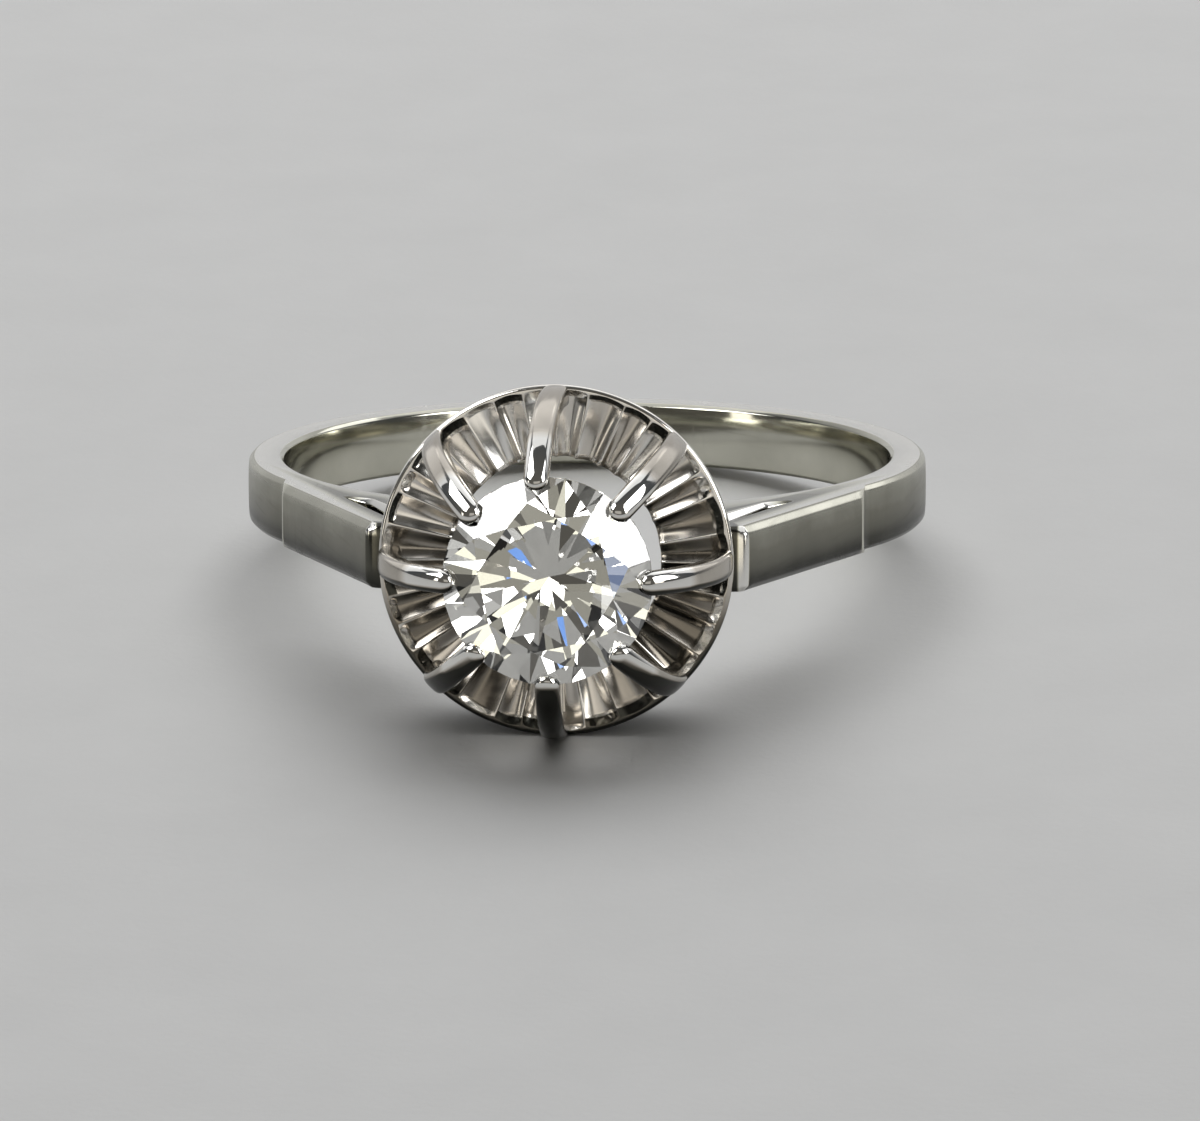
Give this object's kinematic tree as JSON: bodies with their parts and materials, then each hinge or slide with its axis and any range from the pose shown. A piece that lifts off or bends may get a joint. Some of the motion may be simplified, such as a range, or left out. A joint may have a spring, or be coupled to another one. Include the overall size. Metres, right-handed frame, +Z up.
{
  "type": "diamond solitaire ring",
  "caption": "White-metal finger ring lying on its side: a round brilliant stone in claws above a fluted cup, on a flat band with forked shoulders.",
  "frame": {"origin": "centre of the ring's bounding box, on the table that it lies on", "axes": "+Z up from the table; -Y the way the stone faces, tipped up by the tilt of the resting ring; +X to the right seen from the stone's side"},
  "size_m": [0.0194, 0.0258, 0.0098],
  "materials": {
    "white_gold": "polished white gold with fine wear",
    "diamond": "faceted, clear, near colourless"
  },
  "bodies": {
    "root": {"band_and_setting": "white_gold", "diamond": "diamond"}
  },
  "joints": []
}
